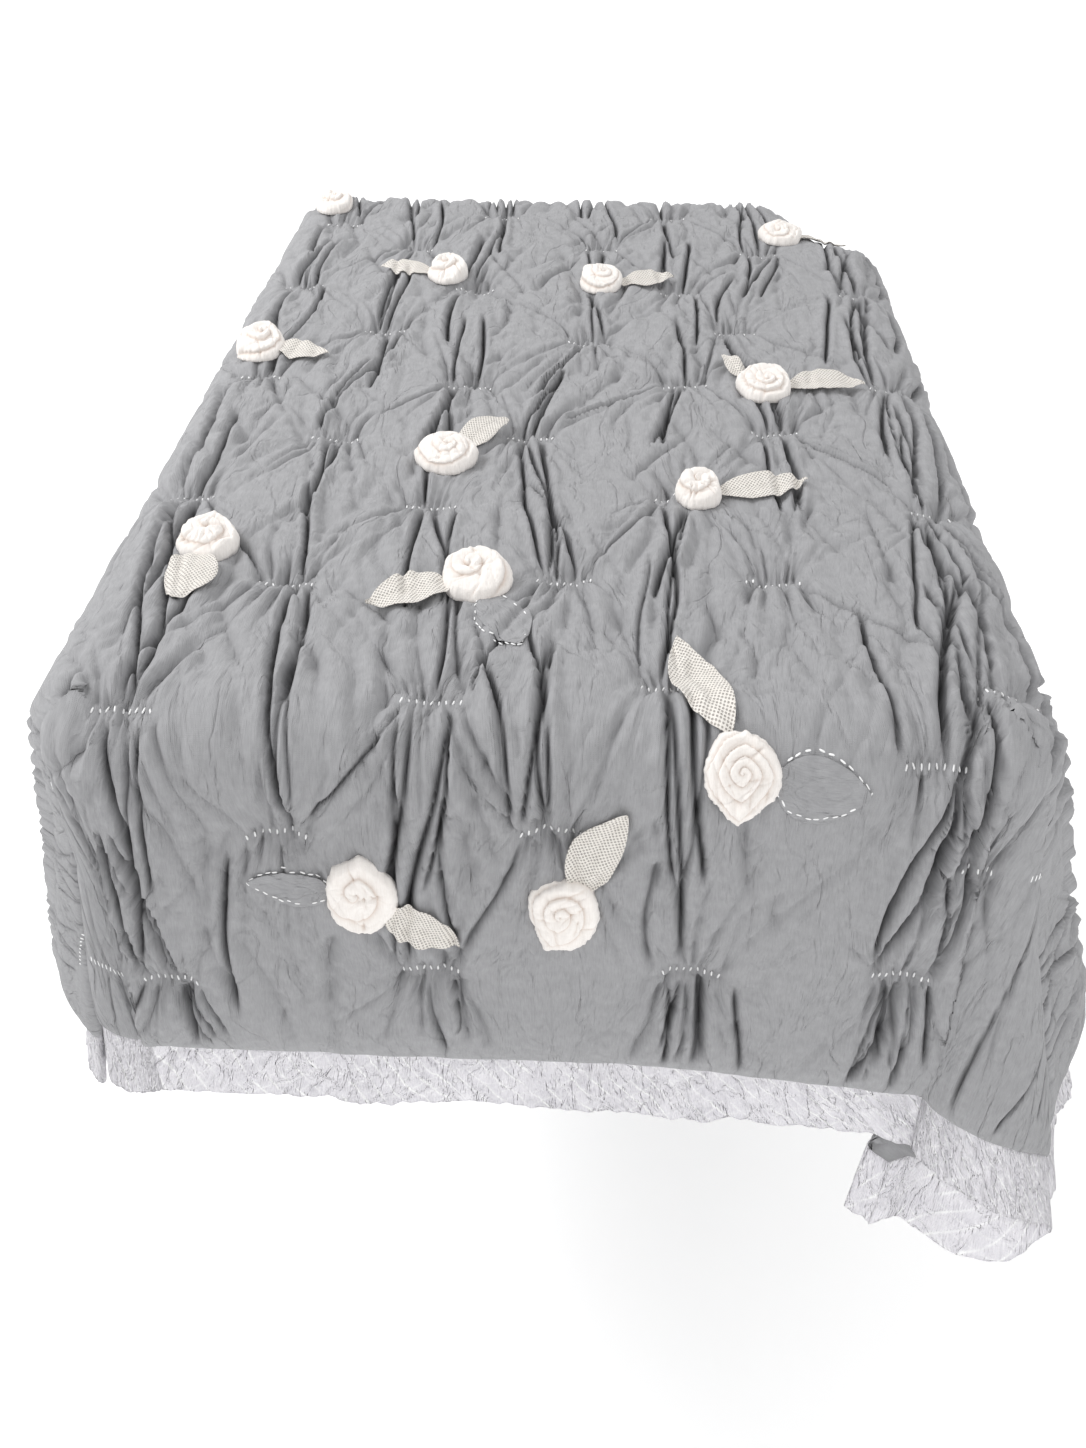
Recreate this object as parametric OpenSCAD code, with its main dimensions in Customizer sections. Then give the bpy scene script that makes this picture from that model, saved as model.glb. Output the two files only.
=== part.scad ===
// Quilted comforter with a ruched grey face, white fabric roses and a white gauze flange,
// modelled as it lies over a narrow bed. Millimetres, +Z up, +Y towards the head.
// The origin is the middle of the flat underside, where the comforter rests on the bed.

/* [Comforter] */
// Width of the comforter laid flat, flange included
flat_w = 1730; // [1500:10:1900]
// Length of the comforter laid flat, flange included
flat_l = 2180; // [1900:10:2500]
// Width of the white flange sewn round the edge
flange_w = 75; // [50:5:120]
// Thickness of the lining cloth
lining_t = 1.5; // [1:0.5:3]
// Loft of the wadding
wadding_t = 30; // [15:1:45]
// Thickness of the gathered face cloth
face_t = 2.5; // [1.5:0.5:5]
// Thickness of the flange gauze
gauze_t = 1.5; // [1:0.5:3]
// Distance from the seam over which the wadding thins out
edge_taper = 70; // [40:5:120]
// Loft that is left at the seam
edge_loft = 4; // [2:1:8]

/* [Drape] */
// Width of the bed top that carries the comforter
bed_w = 760; // [660:10:900]
// Length of the bed top that carries the comforter
bed_l = 1240; // [1100:10:1400]
// Radius of the underside where it turns down over the bed edge
turn_r = 30; // [20:1:60]
// How far the comforter lies off centre, towards +X
shift_x = -45; // [-80:5:80]
// How far the comforter lies off centre, towards +Y
shift_y = 50; // [-80:5:80]
// Flare of the right drop from the vertical
flare_right = 12; // [4:1:20]
// Flare of the left drop
flare_left = 5; // [3:1:20]
// Flare of the foot drop
flare_foot = 4; // [3:1:20]
// Flare of the head drop
flare_head = 8; // [3:1:20]
// Flare of the foot left corner
corner_foot_left = 8; // [5:1:30]
// Flare of the foot right corner
corner_foot_right = 17; // [5:1:30]
// Flare of the head right corner
corner_head_right = 26; // [5:1:30]
// Flare of the head left corner
corner_head_left = 8; // [5:1:30]
// Share of the foot left corner's length that is folded under
tuck_foot_left = 0.28; // [0:0.01:0.3]
// Share of the foot right corner's length that is folded under
tuck_foot_right = 0.06; // [0:0.01:0.3]
// Share of the head right corner's length that is folded under
tuck_head_right = 0.16; // [0:0.01:0.3]
// Share of the head left corner's length that is folded under
tuck_head_left = 0.28; // [0:0.01:0.3]

/* [Roses] */
// Height of a rose over the face
rose_h = 22; // [14:1:30]
// Diameter of the rolled strip that a rose is coiled from
roll_d = 9; // [6:0.5:12]
// Depth of the groove between two coils
groove_d = 2.5; // [1:0.5:4]
// Thickness of a leaf
leaf_t = 1.2; // [0.8:0.2:2.4]
// Clearance between a leaf's base and the rim of its rose
leaf_gap = 0.5; // [0.3:0.1:2]

/* [Gathers] */
// Spacing of the gathers along a row
gather_pitch_x = 235; // [180:5:300]
// Distance from the foot seam to the first row
first_row = 120; // [80:5:180]
// Distance from the last row to the head seam
last_row = 90; // [80:5:180]
// Width of one gather
gather_w = 52; // [40:1:70]
// Diameter of the gathering thread
thread_d = 1.2; // [0.8:0.1:2]
// Least distance from a gather to the seam
gather_margin = 55; // [40:5:90]

/* [Hidden] */
$fn = 48;
// Step from row to row that the roses' places along the comforter are given for
drawn_step = 140;
// Roses: place across, place along from the first row of gathers, diameter, spin
ROSES = [
    [-350, 1405, 52, 10], [-160, 1140, 52, 60], [35, 1115, 54, 200], [275, 1305, 52, 320],
    [-350, 895, 54, 120], [215, 810, 58, 30], [-110, 630, 56, 250], [135, 570, 48, 160],
    [-305, 455, 54, 80], [-60, 405, 58, 300], [155, 205, 62, 0], [-140, 85, 58, 140],
    [25, 75, 56, 220],
];
// Mesh leaves: rose they grow from, direction, length, width
MESH_LEAVES = [
    [1, 168, 64, 24], [2, 16, 68, 26], [3, 10, 62, 26], [4, -12, 56, 30], [5, 8, 82, 34],
    [5, 118, 58, 20], [6, 58, 78, 34], [7, 14, 84, 34], [8, -95, 66, 46], [9, 205, 70, 40],
    [10, 112, 96, 40], [11, -30, 62, 42], [12, 66, 84, 42],
];
// Grey leaves, in the same order of values
GREY_LEAVES = [[9, -66, 74, 44], [10, -4, 66, 42], [11, 172, 62, 34]];
// Rows of gathers, where the odd rows are centred, and how many places are tried from it
gather_rows = 14;
gather_start = -110;
gather_reach = 8;
// Gathers that sit off the regular pattern: row, place in the row, shift across, shift along
GATHER_SHIFTS = [
    [1, -1, 6, -27], [1, 0, 22, -4], [1, 1, 5, 6], [1, 2, -57, 21],
    [2, -1, 23, -4], [2, 0, 5, 7], [2, 1, 60, 73], [2, 2, -74, -14],
    [3, -1, 23, -46], [3, 0, 27, -31], [3, 1, -22, -5], [3, 2, 7, 2],
    [4, -1, -1, -7], [4, 0, 6, 6], [4, 1, -47, 13],
    [5, -1, -9, 4], [5, 0, -7, -7], [5, 1, -6, 16],
    [6, -1, -4, -8], [6, 0, -39, 2], [6, 1, -22, 25], [7, 0, 5, -13], [7, 1, 7, 0],
    [8, -1, 8, -4], [8, 0, 16, -27], [8, 1, -47, 8], [9, 0, -14, -6], [9, 1, 9, -4],
    [10, -1, 10, -3], [10, 0, 23, 10], [11, -1, 16, -43],
];

face_h = lining_t + wadding_t + face_t;
core_x = bed_w / 2 - turn_r;
core_y = bed_l / 2 - turn_r;
mid_r = turn_r + face_h / 2;
edge_left = shift_x - flat_w / 2;
edge_right = shift_x + flat_w / 2;
edge_foot = shift_y - flat_l / 2;
edge_head = shift_y + flat_l / 2;
row_step = (flat_l - 2 * flange_w - first_row - last_row) / (gather_rows - 1);
row_one = edge_foot + flange_w + first_row;

// The one of four values that belongs to the quarter the signs name
function quarter(sx, sy, foot_left, foot_right, head_right, head_left) =
    sy > 0 ? (sx > 0 ? head_right : head_left) : (sx > 0 ? foot_right : foot_left);

// Flare at direction a in the quarter that the signs name
function flare(a, sx, sy) =
    let (
        side = sx > 0 ? flare_right : flare_left,
        end = sy > 0 ? flare_head : flare_foot,
        corner = quarter(sx, sy,
            corner_foot_left, corner_foot_right, corner_head_right, corner_head_left),
        share = pow(sin(2 * a), 2)
    )
    (side * pow(cos(a), 2) + end * pow(sin(a), 2)) * (1 - share) + corner * share;

// Length that shows out of a run of cloth at direction a, once the corner is folded under
function shown(run, a, sx, sy) =
    run * (1 - pow(sin(2 * a), 2)
        * quarter(sx, sy, tuck_foot_left, tuck_foot_right, tuck_head_right, tuck_head_left));

// Point at height h over the underside, for a place (x, y) measured along the cloth.
// The cloth lies flat on the bed, turns over its edge on a radius and hangs straight.
function place(x, y, h) =
    let (
        sx = x < 0 ? -1 : 1,
        sy = y < 0 ? -1 : 1,
        dx = max(abs(x) - core_x, 0),
        dy = max(abs(y) - core_y, 0),
        a = dx + dy > 0 ? atan2(dy, dx) : 0,
        run = shown(norm([dx, dy]), a, sx, sy),
        turn = 90 - flare(a, sx, sy),
        turn_len = mid_r * turn * PI / 180,
        now = min(run / mid_r * 180 / PI, turn),
        hang = max(run - turn_len, 0),
        out = (turn_r + h) * sin(now) + hang * cos(turn)
    )
    [
        sx * (min(abs(x), core_x) + out * cos(a)),
        sy * (min(abs(y), core_y) + out * sin(a)),
        -turn_r + (turn_r + h) * cos(now) - hang * sin(turn)
    ];

// Distance from a place to the seam between the quilt and the flange
function to_seam(x, y) =
    min(x - edge_left, edge_right - x, y - edge_foot, edge_head - y) - flange_w;

// Height of the wadding's top: full inside, rounded down to edge_loft at the seam
function loft(x, y) =
    let (k = min(max(to_seam(x, y), 0) / edge_taper, 1))
    lining_t + edge_loft + (wadding_t - edge_loft) * sqrt(1 - (1 - k) * (1 - k));

// Stations across one drop, outwards from the flat to the seam
function drop_stations(core, seam) =
    let (
        turn_len = mid_r * 80 * PI / 180,
        from = core + turn_len,
        to = seam - edge_taper
    )
    concat(
        [for (i = [0:4]) core + turn_len * i / 4],
        [for (i = [1:4]) from + (to - from) * i / 4],
        [seam - edge_taper * 0.45, seam - edge_taper * 0.12, seam]
    );

function reversed(v) = [for (i = [len(v) - 1:-1:0]) v[i]];

function stations(core, low, high) =
    concat(
        [for (s = reversed(drop_stations(core, -low))) -s],
        [-core / 3, core / 3],
        drop_stations(core, high)
    );

XS = stations(core_x, edge_left + flange_w, edge_right - flange_w);
YS = stations(core_y, edge_foot + flange_w, edge_head - flange_w);

// Closed shell between two grids of points with the same counts
module shell(low, high) {
    nx = len(low[0]);
    ny = len(low);
    n = nx * ny;
    rim = concat(
        [for (i = [0:nx - 2]) i],
        [for (j = [0:ny - 2]) j * nx + nx - 1],
        [for (i = [nx - 1:-1:1]) (ny - 1) * nx + i],
        [for (j = [ny - 1:-1:1]) j * nx]
    );
    faces = concat(
        [for (j = [0:ny - 2], i = [0:nx - 2], k = [0, 1]) let (a = j * nx + i)
            k == 0 ? [a, a + 1, a + nx + 1] : [a, a + nx + 1, a + nx]],
        [for (j = [0:ny - 2], i = [0:nx - 2], k = [0, 1]) let (a = n + j * nx + i)
            k == 0 ? [a, a + nx + 1, a + 1] : [a, a + nx, a + nx + 1]],
        [for (i = [0:len(rim) - 1], k = [0, 1]) let (a = rim[i], b = rim[(i + 1) % len(rim)])
            k == 0 ? [a, a + n, b + n] : [a, b + n, b]]
    );
    polyhedron(points = concat([for (r = low) each r], [for (r = high) each r]), faces = faces);
}

module lining() {
    color("silver")
        shell(
            [for (y = YS) [for (x = XS) place(x, y, 0)]],
            [for (y = YS) [for (x = XS) place(x, y, lining_t)]]
        );
}

module wadding() {
    color("ivory")
        shell(
            [for (y = YS) [for (x = XS) place(x, y, lining_t)]],
            [for (y = YS) [for (x = XS) place(x, y, loft(x, y))]]
        );
}

module face_panel() {
    color("darkgray")
        shell(
            [for (y = YS) [for (x = XS) place(x, y, loft(x, y))]],
            [for (y = YS) [for (x = XS) place(x, y, loft(x, y) + face_t)]]
        );
}

// Strip of flange between two rows of places, given as [x, y]
module flange(inner, outer) {
    color("white")
        shell(
            [[for (p = inner) place(p[0], p[1], 0)], [for (p = outer) place(p[0], p[1], 0)]],
            [[for (p = inner) place(p[0], p[1], gauze_t)], [for (p = outer) place(p[0], p[1], gauze_t)]]
        );
}

// Stations of one side with its two ends moved out to the mitred corners
function to_corner(v) =
    let (last = len(v) - 1)
    [for (i = [0:last]) v[i] + (i == 0 ? -flange_w : i == last ? flange_w : 0)];

module flange_foot() {
    flange(
        [for (x = reversed(XS)) [x, edge_foot + flange_w]],
        [for (x = reversed(to_corner(XS))) [x, edge_foot]]
    );
}

module flange_head() {
    flange(
        [for (x = XS) [x, edge_head - flange_w]],
        [for (x = to_corner(XS)) [x, edge_head]]
    );
}

module flange_left() {
    flange(
        [for (y = YS) [edge_left + flange_w, y]],
        [for (y = to_corner(YS)) [edge_left, y]]
    );
}

module flange_right() {
    flange(
        [for (y = reversed(YS)) [edge_right - flange_w, y]],
        [for (y = reversed(to_corner(YS))) [edge_right, y]]
    );
}

function unit(v) = v / norm(v);

// Moves its children onto the cloth at (x, y), height h, with their +X turned by spin
module on_cloth(x, y, h, spin) {
    step = 1;
    along = cos(spin) * (place(x + step, y, h) - place(x - step, y, h))
        + sin(spin) * (place(x, y + step, h) - place(x, y - step, h));
    up = unit(cross(place(x + step, y, h) - place(x - step, y, h),
        place(x, y + step, h) - place(x, y - step, h)));
    side = unit(cross(up, along));
    ahead = cross(side, up);
    spot = place(x, y, h);
    multmatrix([
        [ahead[0], side[0], up[0], spot[0]],
        [ahead[1], side[1], up[1], spot[1]],
        [ahead[2], side[2], up[2], spot[2]],
        [0, 0, 0, 1]
    ]) children();
}

// Outline of a rose from its rim to its middle: a dome with a groove between the coils
function rose_outline(radius) =
    let (coils = round(radius / roll_d), n = 4 * coils)
    [for (i = [0:n]) let (k = i / n) [
        radius * (1 - k),
        rose_h * sin(14 + 76 * k) - groove_d * (1 - abs(sin(180 * coils * k)))
    ]];

// Place of a rose along the comforter, which keeps its place between the rows of gathers
function rose_y(r) = row_one + r[1] * row_step / drawn_step;

module rose(r) {
    color("floralwhite")
        on_cloth(r[0], rose_y(r), face_h, r[3])
            rotate_extrude()
                polygon(concat([[0, 0], [r[2] / 2, 0]], rose_outline(r[2] / 2)));
}

// Leaf that follows the cloth, from the rim of its rose outwards
module leaf(l, shade) {
    r = ROSES[l[0]];
    start = r[2] / 2 + leaf_gap;
    ribs = 7;
    function half_w(k) = max(l[3] / 2 * pow(sin(180 * pow(k, 0.85)), 0.8), 1);
    function spot(k, c, h) =
        let (d = start + l[2] * k, w = half_w(k) * c)
        place(r[0] + d * cos(l[1]) - w * sin(l[1]), rose_y(r) + d * sin(l[1]) + w * cos(l[1]), h);
    color(shade)
        shell(
            [for (k = [0:ribs]) [for (c = [1:-1:-1]) spot(k / ribs, c, face_h)]],
            [for (k = [0:ribs]) [for (c = [1:-1:-1]) spot(k / ribs, c, face_h + leaf_t)]]
        );
}

// Shift of one gather off the regular pattern
function gather_shift(row, i) =
    let (found = [for (g = GATHER_SHIFTS) if (g[0] == row && g[1] == i) [g[2], g[3]]])
    len(found) > 0 ? found[0] : [0, 0];

// Gathers of one row: every second row is moved over by half a pitch
module gather_threads(row) {
    offset = row % 2 == 0 ? gather_pitch_x / 2 : 0;
    color("whitesmoke")
        for (i = [-gather_reach:gather_reach]) {
            x = gather_start + offset + i * gather_pitch_x + gather_shift(row, i)[0];
            y = row_one + (row - 1) * row_step + gather_shift(row, i)[1];
            if (to_seam(x, y) > gather_margin)
                on_cloth(x, y, loft(x, y) + face_t, 0)
                    translate([-gather_w / 2, 0, thread_d / 2])
                        rotate([0, 90, 0])
                            cylinder(d = thread_d, h = gather_w);
        }
}

lining();
wadding();
face_panel();
flange_foot();
flange_head();
flange_left();
flange_right();
for (i = [0:len(ROSES) - 1])
    rose(ROSES[i]);
for (i = [0:len(MESH_LEAVES) - 1])
    leaf(MESH_LEAVES[i], "seashell");
for (i = [0:len(GREY_LEAVES) - 1])
    leaf(GREY_LEAVES[i], "darkgray");
for (i = [1:gather_rows])
    gather_threads(i);
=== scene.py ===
import math

import bpy
import numpy as np
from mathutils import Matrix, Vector, kdtree


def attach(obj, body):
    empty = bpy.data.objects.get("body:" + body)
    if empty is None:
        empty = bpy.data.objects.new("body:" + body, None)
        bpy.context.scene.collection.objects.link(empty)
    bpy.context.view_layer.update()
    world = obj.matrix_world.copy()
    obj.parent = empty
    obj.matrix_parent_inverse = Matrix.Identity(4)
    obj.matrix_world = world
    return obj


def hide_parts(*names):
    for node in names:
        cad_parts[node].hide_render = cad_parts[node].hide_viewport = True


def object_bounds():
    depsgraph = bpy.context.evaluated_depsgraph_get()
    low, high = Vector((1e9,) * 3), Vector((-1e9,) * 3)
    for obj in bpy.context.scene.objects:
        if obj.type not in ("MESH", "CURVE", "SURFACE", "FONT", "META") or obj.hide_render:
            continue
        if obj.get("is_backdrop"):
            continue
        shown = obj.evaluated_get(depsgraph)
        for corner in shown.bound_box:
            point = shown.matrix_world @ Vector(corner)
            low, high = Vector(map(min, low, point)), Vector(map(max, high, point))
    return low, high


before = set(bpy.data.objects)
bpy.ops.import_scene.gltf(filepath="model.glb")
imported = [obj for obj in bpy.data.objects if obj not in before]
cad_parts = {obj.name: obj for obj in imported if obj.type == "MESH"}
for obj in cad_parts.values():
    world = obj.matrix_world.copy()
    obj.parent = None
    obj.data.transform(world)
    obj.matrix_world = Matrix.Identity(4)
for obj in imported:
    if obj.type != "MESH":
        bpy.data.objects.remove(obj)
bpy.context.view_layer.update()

mm = 0.001
scene = bpy.context.scene


# where the picture is taken from: metres and degrees
camera = {"place": (0.045, -1.455, 0.67), "tilt": 52.3, "turn": 2.75, "lens": 34.66}

camData = bpy.data.cameras.new("camera")
camData.sensor_width = 36
camData.lens = camera["lens"]
camObject = bpy.data.objects.new("camera", camData)
camObject.location = camera["place"]
camObject.rotation_euler = (math.radians(camera["tilt"]), 0, math.radians(camera["turn"]))
scene.collection.objects.link(camObject)
scene.camera = camObject
print("camera placed")


# how the comforter hangs: sizes in mm, as the CAD model drapes it
drape = {
    "cutLow": (-910, -1040), "cutHigh": (820, 1140), "flange": 75,
    "bed": (350, 590), "turnR": 30, "faceH": 34, "liningT": 1.5, "gauzeT": 1.5,
    "edgeTaper": 70, "edgeLoft": 4, "wadding": 30,
    "flare": {"left": 5, "right": 12, "foot": 4, "head": 8},  # degrees off the vertical
    "cornerFlare": {"footleft": 8, "footright": 17, "headright": 26, "headleft": 8},
    "tuck": {"footleft": 0.28, "footright": 0.06, "headright": 0.16, "headleft": 0.28},
}


def byQuarter(values, right, head):
    return np.where(head, np.where(right, values["headright"], values["headleft"]),
                    np.where(right, values["footright"], values["footleft"]))


# where each corner is folded: angle of the fold edge from the side, share of the spare cloth laid
# behind, and whether it lies behind the end (1) or behind the side (0)
cornerFold = {
    "edge": {"footleft": 48, "footright": 38, "headright": 45, "headleft": 45},
    "share": {"footleft": 0.5, "footright": 0.5, "headright": 0.55, "headleft": 0.6},
    # cloth left outside the fold
    "loose": {"footleft": 0.2, "footright": 0.5, "headright": 0.3, "headleft": 0.2},
    "tuck": {"footleft": 0.26, "footright": 0.08, "headright": 0.16, "headleft": 0.34},
    "behindEnd": {"footleft": 0, "footright": 1, "headright": 1, "headleft": 0},
    "gap": 15, "gapGrows": 110, "round": 7, "crease": 9, "thin": 0.24, "thinFrom": 60, "thinReach": 45,
}
# how the finished cloth hangs off the CAD drape: the left hem is drawn up beside the foot, the foot
# sags toward the right, the drops stand out more near the foot, the far right corner sinks
hang = {
    "drawnUp": 0.2, "drawnOver": 250, "sag": 0.085, "sagFrom": 60, "sagOver": 380,
    "outRight": 4.5, "outLeft": 3.0,              # degrees
    "sink": 75, "sinkFrom": (240, 410), "sinkOver": (110, 180), "sinkFade": 180,
}


def unit(k):
    # held between 0 and 1
    return np.clip(k, 0, 1)


def softened(k):
    return k * k * (3 - 2 * k)


def place(x, y, h, folded=True):
    # point at height h over the underside, for a spot (x, y) along the cloth, all in mm;
    # folded=False leaves the corners as the CAD model has them
    x, y, h = np.broadcast_arrays(np.asarray(x, float), np.asarray(y, float), np.asarray(h, float))
    right, head = x >= 0, y >= 0
    bedX, bedY = drape["bed"]
    dx, dy = np.maximum(np.abs(x) - bedX, 0), np.maximum(np.abs(y) - bedY, 0)
    t = np.hypot(dx, dy)
    a = np.arctan2(dy, dx)
    tuck = byQuarter(cornerFold["tuck"] if folded else drape["tuck"], right, head)
    run = t * (1 - np.sin(2 * a) ** 2 * tuck)
    nearFoot = softened(unit(-y / bedY)) * folded
    if folded:
        beside = softened(unit(1 - np.maximum(bedY + y, 0) / hang["drawnOver"])) * (x < 0)
        run = run * (1 - hang["drawnUp"] * beside * np.cos(a) ** 2)
        toRight = softened(unit((x - hang["sagFrom"]) / hang["sagOver"])) * (y < 0)
        run = run * (1 + hang["sag"] * toRight * (1 - np.cos(a) ** 4))
    side = np.where(right, drape["flare"]["right"] + hang["outRight"] * nearFoot,
                    drape["flare"]["left"] + hang["outLeft"] * nearFoot)
    end = np.where(head, drape["flare"]["head"], drape["flare"]["foot"])
    cornerFlare = byQuarter(drape["cornerFlare"], right, head)
    midR = drape["turnR"] + drape["faceH"] / 2

    def outAt(b):
        # how far out the underside is in direction b, and the angles and hang there
        mix = np.sin(2 * b) ** 2
        flare = (side * np.cos(b) ** 2 + end * np.sin(b) ** 2) * (1 - mix) + cornerFlare * mix
        turn = np.radians(90 - flare)
        now = np.minimum(run / midR, turn)
        drop = np.maximum(run - midR * turn, 0)
        return drape["turnR"] * np.sin(now) + drop * np.cos(turn), now, turn, drop

    # the way round a corner at this distance: side, back behind, forth again, end
    behindEnd = byQuarter(cornerFold["behindEnd"], right, head) > 0
    quarterTurn = np.pi / 2
    edge = np.radians(byQuarter(cornerFold["edge"], right, head))
    first = np.where(behindEnd, edge, quarterTurn - edge)
    flip = lambda angle: np.where(behindEnd, angle, quarterTurn - angle)
    lengthOne = first * (outAt(flip(0.0 * first))[0] + 4 * outAt(flip(first / 2))[0]
                         + outAt(flip(first))[0]) / 6
    rest = quarterTurn - first
    lengthTwo = rest * (outAt(flip(first))[0] + 4 * outAt(flip(first + rest / 2))[0]
                        + outAt(flip(0 * first + quarterTurn))[0]) / 6
    share = byQuarter(cornerFold["share"], right, head)
    pleat = np.maximum((t * quarterTurn - lengthOne - lengthTwo) / 2 * share, 0)
    total = lengthOne + 2 * pleat + lengthTwo
    loose = byQuarter(cornerFold["loose"], right, head)
    foldFrom = (1 - loose) * quarterTurn * lengthOne / np.maximum(total, 1e-6) + loose * first
    foldTo = (1 - loose) * quarterTurn * (lengthOne + 2 * pleat) / np.maximum(total,
                                                                              1e-6) + loose * first
    foldTo = np.maximum(foldTo, foldFrom + 1e-4)
    way = np.where(behindEnd, a, quarterTurn - a)
    s = np.where(way < foldFrom, lengthOne * way / foldFrom,
                 np.where(way < foldTo, lengthOne + 2 * pleat * (way - foldFrom) / (foldTo - foldFrom),
                          lengthOne + 2 * pleat + lengthTwo * (way - foldTo) / (quarterTurn - foldTo)))
    isCorner = (dx > 0) & (dy > 0) & folded

    def along(s):
        # spot on the way round, as a point beside the bed's corner, folds still sharp
        back = np.where(s < lengthOne + pleat, s - lengthOne, lengthOne + 2 * pleat - s)
        layered = (s > lengthOne) & (s < lengthOne + 2 * pleat)
        one = s <= lengthOne
        safeOne, safeTwo = np.maximum(lengthOne, 1e-6), np.maximum(lengthTwo, 1e-6)
        q = np.where(layered, back, s - lengthOne - 2 * pleat)
        b = np.where(one, first * s / safeOne, first + rest * np.minimum(q / safeTwo, 1))
        past = np.where(layered, np.maximum(q - lengthTwo, 0), 0)
        b = np.clip(b, 0, quarterTurn)
        out = outAt(flip(b))[0]
        meet = np.exp(-np.maximum(back, 0) / cornerFold["crease"])
        deep = np.exp(-np.maximum(pleat - back, 0) / cornerFold["crease"])
        level = np.where(s < lengthOne + pleat, 2 - 0.5 * deep, 1 + 0.5 * deep) * (1 - meet)
        inward = np.where(layered, cornerFold["gap"] * level * unit(out / cornerFold["gapGrows"]), 0)
        cosB, sinB = np.cos(flip(b)), np.sin(flip(b))
        px, py = (out - inward) * cosB, (out - inward) * sinB
        return px - np.where(behindEnd, past, 0), py - np.where(behindEnd, 0, past)

    wide = np.where(pleat > 1, np.minimum(cornerFold["round"], pleat), 0.0)
    px, py = along(s)
    if np.any(isCorner):
        offsets = (-1.0, -0.5, 0.0, 0.5, 1.0)
        sums = [along(np.clip(s + o * wide, 0, total)) for o in offsets]
        px = np.where(isCorner, sum(v[0] for v in sums) / 5, px)
        py = np.where(isCorner, sum(v[1] for v in sums) / 5, py)
    step = np.maximum(wide, 0.5)
    ahead, behind = along(np.clip(s + step, 0, total)), along(np.clip(s - step, 0, total))
    tx, ty = ahead[0] - behind[0], ahead[1] - behind[1]
    long = np.maximum(np.hypot(tx, ty), 1e-9)
    nx, ny = np.where(behindEnd, ty, -ty) / long, np.where(behindEnd, -tx, tx) / long
    plainX, plainY = np.cos(a), np.sin(a)
    creased = isCorner & (pleat > 1)
    nx, ny = np.where(creased, nx, plainX), np.where(creased, ny, plainY)
    plainOut = outAt(a)[0]
    px, py = np.where(isCorner, px, plainOut * plainX), np.where(isCorner, py, plainOut * plainY)
    fromFold = np.maximum(np.maximum(lengthOne - s, s - lengthOne - 2 * pleat), 0)
    thin = 1 - (1 - cornerFold["thin"]) * unit(pleat / cornerFold["thinFrom"]) * np.exp(
        -(fromFold / cornerFold["thinReach"]) ** 2)
    h = h * np.where(isCorner, thin, 1)
    q = np.where(s < lengthOne, first * s / np.maximum(lengthOne, 1e-6),
                 first + rest * unit((s - lengthOne - 2 * pleat) / np.maximum(lengthTwo, 1e-6)))
    b = np.where(isCorner, flip(np.clip(q, 0, quarterTurn)), a)
    _, now, turn, drop = outAt(b)
    px = np.where(right, 1, -1) * (np.minimum(np.abs(x), bedX) + px + nx * h * np.sin(now))
    py = np.where(head, 1, -1) * (np.minimum(np.abs(y), bedY) + py + ny * h * np.sin(now))
    pz = -drape["turnR"] + (drape["turnR"] + h) * np.cos(now) - drop * np.sin(turn)
    if folded:
        sinkX, sinkY = [unit((v - start) / over) for v, start, over
                        in zip((x, y), hang["sinkFrom"], hang["sinkOver"])]
        pz = pz - hang["sink"] * (sinkX ** 2 * sinkY ** 1.5) * np.exp(-drop / hang["sinkFade"])
    return np.stack([px, py, pz], -1) * mm


def toSeam(x, y):
    # distance from a spot to the seam between the quilt and the flange
    low, high, w = drape["cutLow"], drape["cutHigh"], drape["flange"]
    return np.minimum(np.minimum(x - low[0], high[0] - x), np.minimum(y - low[1], high[1] - y)) - w


def faceHeight(x, y):
    k = unit(toSeam(x, y) / drape["edgeTaper"])
    puff = (drape["wadding"] - drape["edgeLoft"]) * np.sqrt(1 - (1 - k) ** 2)
    return drape["faceH"] - drape["wadding"] + drape["edgeLoft"] + puff


# spots on the cloth for points of the CAD nodes, from a grid of known spots
finderGrid = {"step": 8.0, "inset": 5, "past": 4, "rounds": 3, "longestStep": 12}
gridX, gridY = np.meshgrid(*[np.arange(low + finderGrid["inset"], high - finderGrid["past"],
                                       finderGrid["step"])
                             for low, high in zip(drape["cutLow"], drape["cutHigh"])])
gridSpots = np.stack([gridX.ravel(), gridY.ravel()], -1)
gridPoints = place(gridSpots[:, 0], gridSpots[:, 1], drape["faceH"], False)
finder = kdtree.KDTree(len(gridPoints))
for i, p in enumerate(gridPoints):
    finder.insert(p, i)
finder.balance()


def nodePoints(name):
    node = bpy.data.objects[name] if name in bpy.data.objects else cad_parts[name]
    return np.array([node.matrix_world @ v.co for v in node.data.vertices])


def onCloth(points):
    # the spots (x, y) in mm whose face lies nearest to the points
    points = np.asarray([tuple(p) for p in points], float)
    spots = np.array([gridSpots[finder.find(p)[1]] for p in points])
    for _ in range(finderGrid["rounds"]):
        here = place(spots[:, 0], spots[:, 1], drape["faceH"], False)
        ax = place(spots[:, 0] + 1, spots[:, 1], drape["faceH"], False) - here
        ay = place(spots[:, 0], spots[:, 1] + 1, drape["faceH"], False) - here
        gap = points - here
        xx, yy, xy = (ax * ax).sum(1), (ay * ay).sum(1), (ax * ay).sum(1)
        gx, gy = (ax * gap).sum(1), (ay * gap).sum(1)
        whole = np.maximum(xx * yy - xy * xy, 1e-18)
        step = np.stack([gx * yy - gy * xy, gy * xx - gx * xy], 1) / whole[:, None]
        spots = spots + np.clip(step, -finderGrid["longestStep"], finderGrid["longestStep"])
    return spots


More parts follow.
